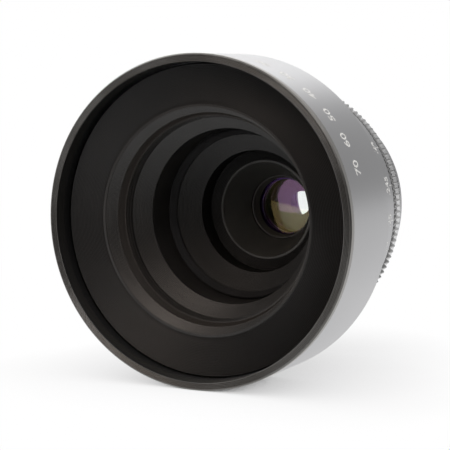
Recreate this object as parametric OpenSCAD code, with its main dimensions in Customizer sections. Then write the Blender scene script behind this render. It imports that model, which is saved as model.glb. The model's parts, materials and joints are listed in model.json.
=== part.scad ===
// Cinema prime lens with a long light-trap funnel, unit focusing and a blade iris.
// Origin at the centre of the mount flange seat. The front faces -Y and +Z is up.
// Every depth below is measured backwards from the front face, in millimetres.

/* [Overall] */
// Front face to the mount flange seat
front_to_flange = 132; // [128:1:142]
// Radius of the front barrel
front_r = 67; // [66:0.5:71]

/* [Front barrel] */
// Length of the front barrel, with its front ring
front_len = 40.5; // [39.5:0.5:42]
// Wall of the front barrel behind the baffle plate
front_wall = 2.4; // [2:0.1:2.8]
// Width of the rim face
rim_w = 3.2; // [2.8:0.1:4]
// Length of the front ring that shows outside
rim_len = 3; // [2.5:0.25:4]
// Length of the front ring's screwed spigot
rim_spigot_len = 3; // [2:0.25:4]
// Wall of the front ring's screwed spigot
rim_spigot_w = 1.5; // [1.2:0.1:1.8]
// Grooves in the rim face
rim_grooves = 4; // [3:1:5]
// Depth of each groove in the rim face
rim_groove_deep = 0.25; // [0.15:0.05:0.4]
// Chamfer of the barrel's outer edges
edge_chamfer = 0.5; // [0.3:0.1:0.8]
// Thickness of the barrel's rear wall
rear_wall_t = 3.5; // [3:0.25:4]
// Screws that hold the main barrel to the rear wall
barrel_screw_count = 6; // [4:1:8]
// Thickness of the main barrel's front flange
barrel_flange_t = 3.6; // [3:0.1:4]

/* [Light-trap funnel] */
// Depth of the ribbed baffle plate
baffle_depth = 9.6; // [8.5:0.1:10.5]
// Thickness of the baffle plate
baffle_t = 2.5; // [2:0.1:3]
// Width of the baffle plate
baffle_w = 16.7; // [15.5:0.1:17]
// Width of the funnel's front lip
lip_w = 0.8; // [0.6:0.1:1]
// Length of the first ribbed cone
cone_1_len = 6.3; // [5.8:0.1:6.8]
// Drop in radius over the first ribbed cone
cone_1_drop = 2.3; // [2:0.1:2.6]
// Length of the smooth band behind the groove
smooth_len = 3.9; // [3.5:0.1:4.3]
// Length of the fine steps behind the smooth band
steps_len = 4.4; // [4:0.1:4.8]
// Drop in radius over the smooth band and the steps
band_drop = 2.3; // [1.9:0.1:2.7]
// Wall of the funnel pieces
funnel_wall = 2; // [1.6:0.1:2.4]
// Spacing of the light-trap ribs
rib_pitch = 0.65; // [0.6:0.05:0.9]
// Depth of the light-trap ribs
rib_deep = 0.28; // [0.2:0.02:0.35]

/* [Focus] */
// Turn of the focus ring in degrees
focus_turn = 300; // [270:5:300]
// Forward travel of the lens unit
focus_travel = 24.5; // [20:0.5:25]
// Radius of the focus scale ring
focus_scale_r = 55.4; // [55:0.1:58]
// Length of the focus scale ring
focus_scale_len = 37.7; // [37:0.1:38.5]
// Wall of the focus scale ring between its two flanges
focus_scale_wall = 2.5; // [2:0.1:3]
// Module of both drive gears
gear_module = 0.8; // [0.8:0.01:0.82]
// Width of the focus gear's teeth
focus_gear_w = 6.6; // [6:0.1:7]
// Least height of the scale rings over the gear tips
gear_tip_gap = 0.15; // [0.1:0.05:0.2]
// Width of the groove between the scale and the teeth
gear_groove_w = 0.8; // [0.6:0.1:1]

/* [Helicoid] */
// Radius of the guide bore
bore_r = 36.6; // [36.4:0.1:37]
// Wall of the guide tube
guide_wall = 3.4; // [3:0.1:3.6]
// Height of the sleeve's bearing lands over the guide tube
journal_step = 3; // [2.6:0.1:3.2]
// Length of the front bearing land
journal_len = 5.7; // [5:0.1:6]
// Wall of the focus sleeve
sleeve_wall = 4.5; // [4:0.1:4.8]
// Number of helicoid keys
key_count = 3; // [2:1:4]
// Width of each helicoid key
key_w = 10; // [8:0.5:11]
// Length of each helicoid key
key_len = 10; // [9:0.5:10.5]

/* [Lens unit] */
// Set-back of the bezel ring behind the front barrel at infinity
bezel_setback = 5.1; // [4.8:0.1:5.4]
// Width of the lens barrel's edge round the bezel
bezel_edge_w = 1.25; // [1.2:0.05:1.4]
// Width of the bezel's sloped face
bezel_w = 1.9; // [1.7:0.1:2.1]
// Length of the bezel's sloped face
bezel_len = 3; // [2.6:0.1:3.2]
// Radius of the tube behind the ribbed front cone
cone_tube_r = 26.4; // [26:0.1:26.8]
// Length of the tube behind the ribbed front cone
cone_tube_len = 9.6; // [9:0.1:10.2]
// Radius at the start of the smooth inner cone
inner_cone_r = 21.5; // [21:0.1:22]
// Length of the smooth inner cone
inner_cone_len = 15.8; // [15.5:0.1:16.1]
// Wall of the cones in the lens unit
cone_wall = 1.6; // [1.3:0.1:1.8]
// Radius of the front elements
front_glass_r = 13.2; // [13:0.1:13.4]
// Radius of the rear elements
rear_glass_r = 12; // [11.8:0.1:12.2]

/* [Iris] */
// Number of iris blades
blade_count = 14; // [10:1:14]
// Radius of the opening with the iris wide open
clear_r = 10.8; // [10.4:0.1:11]
// Radius of the circle of blade pivots
pivot_r = 21; // [20.8:0.1:21.4]
// Width of a blade's crescent
blade_w = 7.1; // [6.5:0.1:7.3]
// Arc of a blade's crescent in degrees
blade_arc = 112; // [100:1:116]
// Thickness of a blade
blade_t = 0.1; // [0.08:0.01:0.11]
// Turn of a blade from open to closed in degrees
blade_turn = 28.4; // [24:0.1:28.6]
// Turn of the iris ring from open to closed in degrees
iris_turn = 54; // [50:1:58]
// Share of the iris turn at rest, from open to closed
iris_rest = 0.7; // [0:0.05:1]
// Length of a blade's drive lever
lever_len = 7; // [6.8:0.05:7.1]
// Width of the iris gear's teeth
iris_gear_w = 6.2; // [6:0.1:7]
// Length of the iris scale
iris_scale_len = 7.4; // [7:0.1:8]
// Radius of the iris scale
iris_scale_r = 47.6; // [47.4:0.1:49]

/* [Rear] */
// Length of the index ring
index_len = 9.6; // [9.2:0.1:10]
// Radius of the index ring
index_r = 53.4; // [53.2:0.1:54.5]
// Radius of the rear housing behind the iris gear
housing_r = 46.4; // [46:0.1:47.5]
// Radius of the rear housing at the mount
housing_end_r = 36; // [35:0.1:37]

/* [Mount] */
// Radius of the mount's centring barrel
mount_r = 27; // [26.5:0.05:27.5]
// Length of the centring barrel behind the flange seat
mount_len = 17; // [14:0.5:20]
// Wall of the centring barrel
mount_wall = 2; // [1.6:0.1:2.4]
// Thickness of the mount flange
flange_t = 4; // [3.5:0.1:4.5]
// Radius of the mount's four lugs
lug_r = 34; // [33.5:0.1:35]
// Width of the gap between two lugs in degrees
lug_gap = 34; // [30:1:40]
// Width of the locating slot in each lug
locating_slot_w = 3.2; // [3:0.1:3.4]
// Thickness of the mount shim
shim_t = 0.3; // [0.2:0.05:0.5]

/* [Clearances] */
// Radial clearance of a running or sliding fit
run_gap = 0.05; // [0.03:0.01:0.08]
// Clearance between two pieces that are fixed together
seat_gap = 0.03; // [0.02:0.01:0.05]
// Axial clearance between a turning and a fixed face
face_gap = 0.4; // [0.3:0.05:0.5]

/* [Hidden] */
$fn = 128;
overlap = 1;

// Front barrel and funnel
rim_in_r = front_r - rim_w;
spigot_r = rim_in_r + rim_spigot_w;
shell_in_r = front_r - front_wall;
plate_back = baffle_depth + baffle_t;
plate_gap = 0.35;
plate_chamfer = 0.8;
lip_out_r = rim_in_r - plate_gap - baffle_w - seat_gap;
lip_r = lip_out_r - lip_w;
ledge_w = 3.3;
ledge_len = 3.3;
lip_proud = 0.3;
lip_depth = baffle_depth - lip_proud;
groove_depth = lip_depth + cone_1_len;
groove_r = lip_r - cone_1_drop;
smooth_end = groove_depth + smooth_len;
smooth_end_r = groove_r - 0.55 * band_drop;
cone_2_depth = smooth_end + steps_len;
cone_2_r = groove_r - band_drop;
funnel_flange_w = 4.7;
funnel_flange_t = 2;
rear_wall_depth = front_len - rear_wall_t;
funnel_end_depth = rear_wall_depth - barrel_flange_t;
cone_2_end_depth = funnel_end_depth - 0.8;

// Guide tube and focus sleeve, from the inside outwards
guide_r = bore_r + guide_wall;
journal_r = guide_r + journal_step;
sleeve_in_r = journal_r + run_gap;
sleeve_r = sleeve_in_r + sleeve_wall;
hub_r = sleeve_r + seat_gap;
collar_r = sleeve_r + 2;
key_depth = front_len + journal_len + focus_travel + 1.3;
slot_end_gap = 0.5;
barrel_screw_ring_r = collar_r + 4.4;
barrel_flange_r = barrel_screw_ring_r + 3.4;
slot_start = key_depth - focus_travel - slot_end_gap;
slot_end = key_depth + key_len + slot_end_gap;
key_first = 60;

// As many teeth as keep the gear tips under their scale ring
focus_teeth = floor(2 * (focus_scale_r - gear_tip_gap) / gear_module) - 2;
iris_teeth = floor(2 * (iris_scale_r - gear_tip_gap) / gear_module) - 2;

// Focus ring stations
scale_depth = front_len + face_gap;
scale_end = scale_depth + focus_scale_len;
gear_depth = scale_end + gear_groove_w;
gear_end = gear_depth + focus_gear_w;
sleeve_end = gear_end + 1.6;
set_screw_r = 1.5;
focus_screw_depth = scale_end - 3.6;

// Focus stop
stop_ring_r = 50;
stop_pin_r = 1.2;
stop_pin_at = 180;
stop_slack = 0.15;
stop_pin_angle = asin(stop_pin_r / stop_ring_r);
stop_lug_w = 2.3;
stop_lug_len = 2.2;
stop_room = 0.7;

// Rear stations
index_depth = gear_end + face_gap;
index_end = index_depth + index_len;
index_seat = sleeve_end + face_gap;
index_floor = gear_end + stop_lug_len + 0.5;
bearing_depth = slot_end + 0.8;
bearing_end = index_seat + 4;
guide_end = index_end;
housing_screw_depth = (bearing_end + index_end) / 2;
iris_journal_r = guide_r + 1;
iris_depth = index_end + face_gap;
iris_gear_depth = iris_depth + iris_scale_len;
iris_ring_end = iris_gear_depth + iris_gear_w;
iris_hub_r = iris_journal_r + run_gap + 2.9;
housing_shoulder = iris_ring_end + face_gap;
mount_front = front_to_flange - flange_t;
housing_end = mount_front - shim_t;
mount_in_r = mount_r - mount_wall;
housing_in_r = mount_r + 1;

// Lens unit stations
unit_r = bore_r - run_gap;
bezel_depth = front_len + bezel_setback;
unit_front = bezel_depth + 1.3;
unit_end = key_depth + key_len + 1.5;
unit_bore_r = unit_r - 2.35;
bezel_end = bezel_depth + bezel_len + 0.8;
bezel_r = unit_r - bezel_edge_w;
bezel_in_r = bezel_r - bezel_w;
bezel_seat_r = unit_r - 1.15;
bezel_lip_w = 0.6;
cone_tube_out_r = cone_tube_r + cone_wall;
trap_t = 2;
cell_shoulder_t = 1.8;
trap_end = key_depth - cell_shoulder_t;
trap_depth = trap_end - trap_t;
cone_end_depth = trap_depth - cone_tube_len;
inner_cone_end_r = front_glass_r + 1.2;
inner_cone_end_depth = trap_depth + inner_cone_len;
cell_r = cone_tube_r + 0.75;
cell_boss_len = 3.6;
cell_bore_depth = inner_cone_end_depth + cell_boss_len;
cell_end = inner_cone_end_depth + 21;

// Optical elements: front vertex depth, thickness, front and rear curvature radius.
// The prescription is for a front glass radius of design_r and grows with it.
design_r = 13.2;
glass_k = front_glass_r / design_r;
cement = 0.02;
v1 = inner_cone_end_depth + 4.03 * glass_k;
v2 = v1 + 4.3 * glass_k;
v3 = v2 + 4.3 * glass_k;
v4 = v3 + 4 * glass_k + cement;
v5 = cell_end + 14.2;
v6 = v5 + 1.4 * glass_k + cement;
v7 = v6 + 5.3 * glass_k;
v8 = v7 + 3 * glass_k;
elements = [
    [v1, 3.8 * glass_k, 82 * glass_k, 184 * glass_k, front_glass_r],
    [v2, 4 * glass_k, 110 * glass_k, 104 * glass_k, front_glass_r],
    [v3, 4 * glass_k, 38 * glass_k, 84 * glass_k, front_glass_r],
    [v4, 1.5 * glass_k, 84 * glass_k, 71.5 * glass_k, front_glass_r],
    [v5, 1.4 * glass_k, -54 * glass_k, 280 * glass_k, rear_glass_r],
    [v6, 5 * glass_k, 280 * glass_k, -480 * glass_k, rear_glass_r],
    [v7, 2.6 * glass_k, 140 * glass_k, -78 * glass_k, rear_glass_r],
    [v8, 1.6 * glass_k, -270 * glass_k, -430 * glass_k, rear_glass_r]
];
glass_rim = 1;
glass_facets = 480;
lock_ring_w = 0.6;
lock_front_r = front_glass_r + 0.5;
lock_flange_r = inner_cone_end_r - 0.3;
spacer_w = 1.4;

// Iris stations and blade geometry
plate_iris_t = 2;
blade_depth = cell_end + plate_iris_t + 0.3;
blade_pitch = 2 * blade_t;
blade_stack = (blade_count - 1) * blade_pitch + blade_t;
cam_depth = blade_depth + blade_stack + 0.6;
cam_t = 2.4;
cam_end = cam_depth + cam_t;
cover_depth = cam_end + face_gap;
cover_t = 2.2;
iris_end = cover_depth + cover_t;
iris_wall_r = cell_r + 0.1;
iris_r = iris_wall_r + 1.75;
cam_r = iris_wall_r - run_gap;
blade_in_r = clear_r + 0.6;
blade_out_r = blade_in_r + blade_w;
pivot_pin_r = 0.8;
pivot_eye_r = 1.8;
drive_pin_r = 0.4;
drive_eye_r = 1;
lever_angle = -100;
drive_slot_r = drive_pin_r + 0.1;
cam_in_r = clear_r + 1.2;
cam_path_steps = 10;
cam_end_steps = 6;

// Iris drive from the outer ring to the cam ring
drive_at = 180;
rest_turn = iris_turn * iris_rest;
drive_rest = drive_at + rest_turn;
bar_w = 3;
bar_in_r = iris_r + 2.6;
bar_out_r = bar_in_r + bar_w;
bar_front = unit_end + 0.7;
arm_len = 3.6;
arm_depth = iris_gear_depth - arm_len;
arm_out_r = iris_journal_r + 3.5;
fork_w = 6.8;
fork_gap = 0.1;
window_side = 6;

// Mount details
lug_count = 4;
lug_root_r = mount_r + 3.5;
mount_screw_r = 1;
mount_head_r = 1.7;
mount_head_len = 1.6;
mount_screw_len = 9.5;
mount_screw_ring_r = mount_r + 3.6;
mount_screw_spread = 14;
rear_flange_t = 1.8;
rear_cell_r = rear_glass_r + 2.6;
rear_cell_end = v8 + 2.5;

// Screws of the main barrel
barrel_screw_r = 1.5;
barrel_head_r = 2.6;
barrel_head_len = 2;

black = "#1c1c1d";
satin = "#2b2c2e";
dark = "#121213";
steel = "#8d9094";
brass = "#b08d4a";
glass = "#9fb7a8";

blade_names = [for (i = [1:blade_count]) str("iris_blade_", i)];
element_names = [for (i = [1:len(elements)]) str("element_", i)];

// Depth change of a spherical surface at radius r
function sag(curve, r) = sign(curve) * (abs(curve) - sqrt(curve * curve - r * r));

// Depth of an element's front or rear surface at radius r
function front_face(e, r) = e[0] + sag(e[2], r);
function rear_face(e, r) = e[0] + e[1] + sag(e[3], r);

// Points of a ribbed line between two profile points, cut to one side
function ribbed(p, q, side) =
    let (
        v = q - p,
        n = max(1, round(norm(v) / rib_pitch)),
        across = side * rib_deep * [-v[1], v[0]] / norm(v)
    )
    [for (k = [0:n - 1]) each [p + v * k / n, p + v * (k + 0.5) / n + across]];

// Angle of half an involute tooth at radius r, with a pressure angle of 20 degrees
function inv(a) = tan(a) * 180 / PI - a;
function half_tooth(r, teeth) =
    90 / teeth + inv(20) - inv(acos(gear_module * teeth * cos(20) / 2 / r));
function polar(r, a) = [r * cos(a), r * sin(a)];
function root_r(teeth) = gear_module * (teeth / 2 - 1.25);
function tip_r(teeth) = gear_module * (teeth / 2 + 1);
function gear_outline(teeth) =
    let (flank = [root_r(teeth), gear_module * teeth / 2, tip_r(teeth)])
    [for (k = [0:teeth - 1]) each concat(
        [for (r = flank) polar(r, k * 360 / teeth - half_tooth(r, teeth))],
        [for (j = [2:-1:0]) polar(flank[j], k * 360 / teeth + half_tooth(flank[j], teeth))]
    )];

// Drive pin of a blade at angle 0, for a share of the way from open to closed,
// as the cam ring sees it
function drive_pin(share) =
    let (
        a = lever_angle + blade_turn * share,
        p = [pivot_r + lever_len * cos(a), lever_len * sin(a)]
    )
    polar(norm(p), atan2(p[1], p[0]) - iris_turn * share);
// Edge of the cam slot, at an angle from the way the pin travels
function cam_edge(share, turn) =
    let (
        step = 0.01,
        v = drive_pin(share + step) - drive_pin(share - step)
    )
    drive_pin(share) + polar(drive_slot_r, atan2(v[1], v[0]) + turn);

// Optical bench frame: local Z runs backwards from the front face, local X is up
module bench() {
    translate([0, -front_to_flange, 0]) rotate([-90, -90, 0]) children();
}

// Solid of revolution from [depth, radius] points
module turned(points) {
    rotate_extrude() polygon([for (p = points) [p[1], p[0]]]);
}

module tube(from, to, in_r, out_r) {
    turned([[from, in_r], [from, out_r], [to, out_r], [to, in_r]]);
}

// Sector of a disc between two angles
module sector(from, to, a, b, r) {
    n = ceil((b - a) / 30);
    reach = r / cos((b - a) / n / 2);
    translate([0, 0, from]) linear_extrude(to - from)
        polygon(concat([[0, 0]], [for (k = [0:n]) polar(reach, a + (b - a) * k / n)]));
}

// Copies around the optical axis
module around(count, first) {
    for (k = [0:count - 1]) rotate([0, 0, first + k * 360 / count]) children();
}

// Radial rod along local X
module radial_rod(depth, in_r, out_r, r) {
    translate([in_r, 0, depth]) rotate([0, 90, 0]) cylinder(h = out_r - in_r, r = r);
}

module rod(from, to, ring_r, r) {
    translate([ring_r, 0, from]) cylinder(h = to - from, r = r);
}

module block(from, to, in_r, out_r, w) {
    translate([in_r, -w / 2, from]) cube([out_r - in_r, w, to - from]);
}

module gear(from, to, teeth, in_r) {
    difference() {
        translate([0, 0, from]) linear_extrude(to - from) polygon(gear_outline(teeth));
        translate([0, 0, from - overlap]) cylinder(h = to - from + 2 * overlap, r = in_r);
    }
}

// Fixed front pieces
module front_ring() {
    pitch = (rim_w - edge_chamfer) / (rim_grooves + 1);
    grooves = [for (k = [1:rim_grooves]) each [
        [0, rim_in_r + pitch * k - rim_groove_deep],
        [rim_groove_deep, rim_in_r + pitch * k],
        [0, rim_in_r + pitch * k + rim_groove_deep]
    ]];
    color(satin) bench() turned(concat(
        [[rim_len + rim_spigot_len, rim_in_r], [0, rim_in_r]],
        grooves,
        [[0, front_r - edge_chamfer], [edge_chamfer, front_r], [rim_len, front_r]],
        [[rim_len, spigot_r], [rim_len + rim_spigot_len, spigot_r]]
    ));
}

module barrel_screw_holes() {
    around(barrel_screw_count, 0)
        rod(funnel_end_depth, front_len - 0.7, barrel_screw_ring_r, barrel_screw_r + seat_gap);
}

module front_barrel() {
    color(satin) bench() difference() {
        turned([
            [rim_len, spigot_r + seat_gap],
            [rim_len, front_r],
            [front_len - edge_chamfer, front_r],
            [front_len, front_r - edge_chamfer],
            [front_len, collar_r + seat_gap],
            [rear_wall_depth, collar_r + seat_gap],
            [rear_wall_depth, shell_in_r],
            [plate_back + ledge_len, shell_in_r],
            [plate_back + ledge_len, rim_in_r - ledge_w],
            [plate_back, rim_in_r - ledge_w],
            [plate_back, rim_in_r],
            [rim_len + rim_spigot_len, rim_in_r],
            [rim_len + rim_spigot_len, spigot_r + seat_gap]
        ]);
        barrel_screw_holes();
    }
}

module baffle_plate() {
    out_r = rim_in_r - plate_gap;
    in_r = lip_out_r + seat_gap;
    flat = 0.4;
    color(black) bench() turned(concat(
        [[plate_back, in_r], [baffle_depth, in_r]],
        ribbed([baffle_depth, in_r + flat], [baffle_depth, out_r - plate_chamfer], -1),
        [[baffle_depth, out_r - plate_chamfer], [baffle_depth + plate_chamfer, out_r]],
        [[plate_back, out_r]]
    ));
}

module upper_funnel() {
    cone_start = lip_depth + 0.9;
    cone_start_r = lip_r - cone_1_drop * 0.9 / cone_1_len;
    groove_w = 0.6;
    groove_deep = 0.7;
    steps = 3;
    step_len = steps_len / steps;
    step_h = (smooth_end_r - cone_2_r) / steps;
    flange_end = plate_back + funnel_flange_t;
    fine_steps = [for (k = [0:steps - 1]) each [
        [smooth_end + k * step_len, smooth_end_r - k * step_h],
        [smooth_end + k * step_len, smooth_end_r - (k + 1) * step_h]
    ]];
    color(black) bench() turned(concat(
        [[lip_depth, lip_out_r], [lip_depth, lip_r], [lip_depth + 0.3, lip_r]],
        [[lip_depth + 0.6, lip_r + 0.3]],
        ribbed([cone_start, cone_start_r], [groove_depth, groove_r], 1),
        [[groove_depth, groove_r], [groove_depth, groove_r + groove_deep]],
        [[groove_depth + groove_w, groove_r + groove_deep], [groove_depth + groove_w, groove_r]],
        fine_steps,
        [[cone_2_depth, cone_2_r], [cone_2_depth, cone_2_r + funnel_wall]],
        [[flange_end, lip_out_r], [flange_end, lip_out_r + funnel_flange_w]],
        [[plate_back, lip_out_r + funnel_flange_w], [plate_back, lip_out_r]]
    ));
}

module lower_funnel() {
    flange_r = bore_r + funnel_wall + 5;
    flange_front = funnel_end_depth - funnel_flange_t;
    color(black) bench() turned(concat(
        [[cone_2_depth, cone_2_r + funnel_wall]],
        ribbed([cone_2_depth, cone_2_r], [cone_2_end_depth, bore_r], 1),
        [[cone_2_end_depth, bore_r], [funnel_end_depth, bore_r]],
        [[funnel_end_depth, flange_r], [flange_front, flange_r]],
        [[flange_front, bore_r + funnel_wall + 1]]
    ));
}

// Fixed guide tube with its straight slots
module main_barrel() {
    color(dark) bench() difference() {
        turned([
            [funnel_end_depth, bore_r],
            [funnel_end_depth, barrel_flange_r],
            [rear_wall_depth, barrel_flange_r],
            [rear_wall_depth, collar_r],
            [front_len, collar_r],
            [front_len, journal_r],
            [slot_start - 0.8, journal_r],
            [slot_start - 0.8, guide_r],
            [guide_end, guide_r],
            [guide_end, bore_r]
        ]);
        around(key_count, key_first)
            block(slot_start, slot_end, bore_r - overlap, journal_r + overlap, key_w + 2 * run_gap);
        barrel_screw_holes();
        housing_screw_holes();
    }
}

module barrel_screws() {
    tip = front_len - 0.9;
    color(steel) bench() around(barrel_screw_count, 0) difference() {
        union() {
            rod(funnel_end_depth - barrel_head_len, funnel_end_depth, barrel_screw_ring_r, barrel_head_r);
            rod(funnel_end_depth - overlap, tip, barrel_screw_ring_r, barrel_screw_r);
        }
        translate([barrel_screw_ring_r, 0, funnel_end_depth - barrel_head_len - overlap])
            cylinder(h = overlap + 1.1, r = barrel_screw_r * 0.9, $fn = 6);
    }
}

module bearing_ring() {
    color(brass) bench() tube(bearing_depth, bearing_end, guide_r + seat_gap, journal_r);
}

module focus_stop_pin() {
    color(steel) bench() rotate([0, 0, stop_pin_at])
        rod(gear_end + stop_room, index_floor + 2.2, stop_ring_r, stop_pin_r);
}

module housing_screw_holes() {
    around(3, 90) radial_rod(housing_screw_depth, guide_r - 0.9, index_r, set_screw_r + seat_gap);
}

module index_ring() {
    channel_in_r = stop_ring_r - stop_lug_w / 2 - stop_room;
    channel_out_r = stop_ring_r + stop_lug_w / 2 + stop_room;
    seat_r = journal_r + seat_gap;
    color(satin) bench() difference() {
        turned([
            [index_seat, seat_r],
            [index_seat, channel_in_r],
            [index_floor, channel_in_r],
            [index_floor, channel_out_r],
            [index_depth, channel_out_r],
            [index_depth, index_r - edge_chamfer],
            [index_depth + edge_chamfer, index_r],
            [index_depth + index_len / 2, index_r],
            [index_end, iris_scale_r + 1],
            [index_end, seat_r]
        ]);
        rotate([0, 0, stop_pin_at])
            rod(index_floor - overlap, index_floor + 2.2, stop_ring_r, stop_pin_r + seat_gap);
        housing_screw_holes();
    }
}

module mount_screw_places() {
    for (k = [0:lug_count - 1], side = [-1, 1])
        rotate([0, 0, (k + 0.5) * 360 / lug_count + side * mount_screw_spread]) children();
}

module rear_housing() {
    mid_depth = housing_shoulder + 2.6;
    end_depth = housing_end - 3.5;
    inner_end = iris_end + rear_flange_t + 0.8;
    color(satin) bench() difference() {
        turned([
            [bearing_end, guide_r + seat_gap],
            [bearing_end, journal_r],
            [index_end, journal_r],
            [index_end, iris_journal_r],
            [housing_shoulder, iris_journal_r],
            [housing_shoulder, housing_r - edge_chamfer],
            [housing_shoulder + edge_chamfer, housing_r],
            [mid_depth, housing_r],
            [end_depth, housing_end_r],
            [housing_end, housing_end_r],
            [housing_end, housing_in_r],
            [inner_end + 1.5, housing_in_r],
            [inner_end, bore_r],
            [guide_end, bore_r],
            [guide_end, guide_r + seat_gap]
        ]);
        difference() {
            sector(arm_depth - face_gap, arm_depth + arm_len + face_gap,
                drive_at - window_side, drive_at + iris_turn + window_side, iris_journal_r + overlap);
            translate([0, 0, arm_depth - overlap])
                cylinder(h = arm_len + 2 * overlap, r = bore_r - overlap);
        }
        mount_screw_places()
            rod(front_to_flange - mount_screw_len - 0.5, front_to_flange,
                mount_screw_ring_r, mount_screw_r + seat_gap);
        housing_screw_holes();
    }
}

module housing_set_screws() {
    color(steel) bench() around(3, 90)
        radial_rod(housing_screw_depth, guide_r - 0.7, iris_scale_r, set_screw_r);
}

// Mount
module mount_shim() {
    color(brass) bench() difference() {
        tube(housing_end, mount_front, housing_in_r, housing_end_r - 2);
        mount_screw_places()
            rod(housing_end - overlap, mount_front + overlap, mount_screw_ring_r, mount_screw_r + seat_gap);
    }
}

module mount_flange() {
    gap_step = 360 / lug_count;
    barrel_end = front_to_flange + mount_len;
    color(steel) bench() difference() {
        turned([
            [mount_front, mount_in_r],
            [mount_front, lug_r],
            [front_to_flange, lug_r],
            [front_to_flange, mount_r],
            [barrel_end - edge_chamfer, mount_r],
            [barrel_end, mount_r - edge_chamfer],
            [barrel_end, mount_in_r]
        ]);
        for (k = [0:lug_count - 1]) {
            difference() {
                sector(mount_front - overlap, front_to_flange + overlap,
                    k * gap_step - lug_gap / 2, k * gap_step + lug_gap / 2, lug_r + overlap);
                translate([0, 0, mount_front - 2 * overlap])
                    cylinder(h = flange_t + 4 * overlap, r = lug_root_r);
            }
            rotate([0, 0, (k + 0.5) * gap_step])
                block(mount_front - overlap, front_to_flange + overlap,
                    lug_root_r + 1.5, lug_r + overlap, locating_slot_w);
        }
        mount_screw_places() {
            rod(mount_front - overlap, front_to_flange, mount_screw_ring_r, mount_screw_r + seat_gap);
            rod(front_to_flange - mount_head_len, front_to_flange + overlap,
                mount_screw_ring_r, mount_head_r + seat_gap);
        }
    }
}

module mount_screws() {
    color(steel) bench() mount_screw_places() difference() {
        union() {
            rod(front_to_flange - mount_head_len, front_to_flange - 0.1, mount_screw_ring_r, mount_head_r);
            rod(front_to_flange - mount_screw_len, front_to_flange - 1, mount_screw_ring_r, mount_screw_r);
        }
        translate([mount_screw_ring_r, 0, front_to_flange - 0.9])
            cylinder(h = 2, r = mount_screw_r, $fn = 6);
    }
}

// Focus ring
module focus_screw_holes(in_r) {
    around(3, 30) radial_rod(focus_screw_depth, in_r, focus_scale_r + overlap, set_screw_r + seat_gap);
}

module focus_sleeve() {
    color(brass) bench() difference() {
        tube(scale_depth, sleeve_end, sleeve_in_r, sleeve_r);
        focus_screw_holes(sleeve_r - 1.6);
    }
}

module focus_scale_ring() {
    flange = 3.5;
    wall_r = focus_scale_r - focus_scale_wall;
    color(satin) bench() difference() {
        turned([
            [scale_depth, hub_r],
            [scale_depth, focus_scale_r - edge_chamfer],
            [scale_depth + edge_chamfer, focus_scale_r],
            [scale_end - edge_chamfer, focus_scale_r],
            [scale_end, focus_scale_r - edge_chamfer],
            [scale_end, hub_r],
            [scale_end - 2 * flange, hub_r],
            [scale_end - 2 * flange, wall_r],
            [scale_depth + flange, wall_r],
            [scale_depth + flange, hub_r]
        ]);
        focus_screw_holes(sleeve_r - 1.6);
    }
}

module focus_gear() {
    color(black) bench() union() {
        gear(gear_depth, gear_end, focus_teeth, hub_r);
        tube(scale_end, gear_depth + overlap, hub_r, root_r(focus_teeth) - 0.4);
    }
}

module focus_stop_lug() {
    a = stop_pin_at + stop_pin_angle + stop_slack;
    b = stop_pin_at + 360 - focus_turn - stop_pin_angle - stop_slack;
    color(steel) bench() intersection() {
        tube(gear_end, gear_end + stop_lug_len,
            stop_ring_r - stop_lug_w / 2, stop_ring_r + stop_lug_w / 2);
        sector(gear_end - overlap, gear_end + stop_lug_len + overlap, a, b, stop_ring_r + stop_lug_w);
    }
}

module focus_set_screws() {
    color(steel) bench() around(3, 30) difference() {
        radial_rod(focus_screw_depth, sleeve_r - 1.5, focus_scale_r - 0.6, set_screw_r);
        translate([focus_scale_r - 2, 0, focus_screw_depth]) rotate([0, 90, 0])
            cylinder(h = 3, r = 0.8, $fn = 6);
    }
}

// Lens unit
module lens_barrel() {
    web_bore_r = cell_r + seat_gap;
    pocket_depth = key_depth + 3;
    color(black) bench() difference() {
        turned([
            [bezel_end, unit_bore_r],
            [bezel_end, bezel_seat_r],
            [unit_front, bezel_seat_r],
            [unit_front, unit_r],
            [unit_end, unit_r],
            [unit_end, unit_bore_r],
            [pocket_depth, unit_bore_r],
            [pocket_depth, web_bore_r + 2.4],
            [unit_end, web_bore_r + 2.4],
            [unit_end, web_bore_r],
            [key_depth, web_bore_r],
            [key_depth, unit_bore_r]
        ]);
        around(key_count, key_first)
            block(key_depth - seat_gap, key_depth + key_len + seat_gap,
                unit_r - 1, journal_r, key_w + 2 * seat_gap);
    }
}

module helicoid_keys() {
    color(brass) bench() around(key_count, key_first) intersection() {
        block(key_depth, key_depth + key_len, unit_r - 1, journal_r + overlap, key_w);
        translate([0, 0, key_depth - overlap]) cylinder(h = key_len + 2 * overlap, r = journal_r);
    }
}

module bezel_ring() {
    slot_w = 1.2;
    color(black) bench() difference() {
        turned([
            [bezel_depth, bezel_r],
            [bezel_depth + bezel_len, bezel_in_r],
            [bezel_end, bezel_in_r],
            [bezel_end, bezel_seat_r - seat_gap],
            [unit_front, bezel_seat_r - seat_gap],
            [unit_front, bezel_r + bezel_lip_w],
            [bezel_depth + 0.4, bezel_r + bezel_lip_w]
        ]);
        around(2, 150) block(bezel_depth - overlap, bezel_depth + bezel_len - 0.4,
            bezel_in_r - overlap, bezel_in_r + 1.6, slot_w);
    }
}

module front_cone() {
    flange_r = unit_bore_r - seat_gap;
    start_r = bezel_in_r - 0.1;
    color(black) bench() turned(concat(
        [[bezel_end, flange_r]],
        ribbed([bezel_end, start_r], [cone_end_depth, cone_tube_r], 1),
        [[cone_end_depth, cone_tube_r], [trap_depth, cone_tube_r]],
        [[trap_depth, cone_tube_out_r], [cone_end_depth, cone_tube_out_r]],
        [[bezel_end + 2, flange_r]]
    ));
}

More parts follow.
